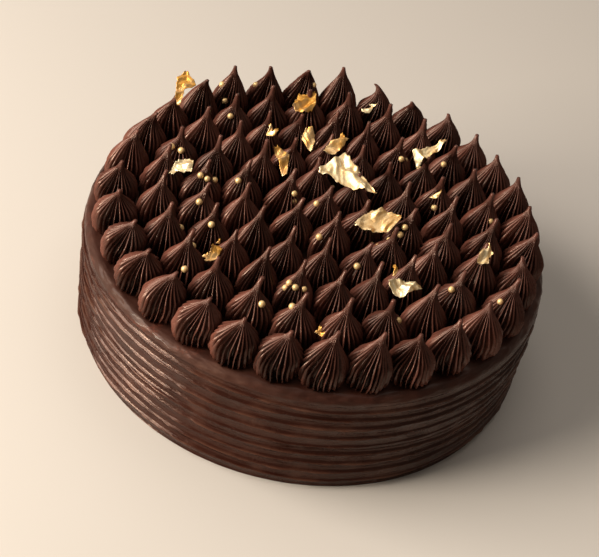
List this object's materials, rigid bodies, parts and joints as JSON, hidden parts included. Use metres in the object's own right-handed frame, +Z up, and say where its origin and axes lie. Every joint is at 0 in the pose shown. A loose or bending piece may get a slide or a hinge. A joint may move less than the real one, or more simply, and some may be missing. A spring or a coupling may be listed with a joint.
{
  "type": "chocolate truffle cake",
  "caption": "Round chocolate cake with a comb-ridged side, rings of piped ganache kisses, gold sugar pearls and scraps of gold leaf.",
  "frame": {"origin": "centre of the round underside, on the surface the cake stands on", "axes": "+Z up out of the top; -Y towards the side that the picture shows in front, +X to its right"},
  "size_m": [0.206, 0.206, 0.0846],
  "materials": {
    "ganache_coat": "dark chocolate ganache, satin, combed",
    "piped_ganache": "dark chocolate ganache, satin, piped",
    "gold_leaf": "crumpled gold leaf",
    "sugar_pearl": "gold sugar pearls with a soft shine"
  },
  "bodies": {
    "root": {"cake_body": "ganache_coat", "kisses_middle": "piped_ganache", "kisses_ring_1_1": "piped_ganache", "kisses_ring_1_2": "piped_ganache", "kisses_ring_1_3": "piped_ganache", "kisses_ring_1_4": "piped_ganache", "kisses_ring_1_5": "piped_ganache", "kisses_ring_1_6": "piped_ganache", "kisses_ring_1_7": "piped_ganache", "kisses_ring_1_8": "piped_ganache", "kisses_ring_2_1": "piped_ganache", "kisses_ring_2_2": "piped_ganache", "kisses_ring_2_3": "piped_ganache", "kisses_ring_2_4": "piped_ganache", "kisses_ring_2_5": "piped_ganache", "kisses_ring_2_6": "piped_ganache", "kisses_ring_3_1": "piped_ganache", "kisses_ring_3_2": "piped_ganache", "kisses_ring_3_3": "piped_ganache", "kisses_ring_3_4": "piped_ganache", "kisses_ring_3_5": "piped_ganache", "kisses_ring_4_1": "piped_ganache", "kisses_ring_4_2": "piped_ganache", "kisses_ring_4_3": "piped_ganache", "kisses_ring_4_4": "piped_ganache", "gold_leaf_1": "gold_leaf", "gold_leaf_10": "gold_leaf", "gold_leaf_11": "gold_leaf", "gold_leaf_12": "gold_leaf", "gold_leaf_2": "gold_leaf", "gold_leaf_3": "gold_leaf", "gold_leaf_4": "gold_leaf", "gold_leaf_5": "gold_leaf", "gold_leaf_6": "gold_leaf", "gold_leaf_7": "gold_leaf", "gold_leaf_8": "gold_leaf", "gold_leaf_9": "gold_leaf"}
  },
  "joints": []
}
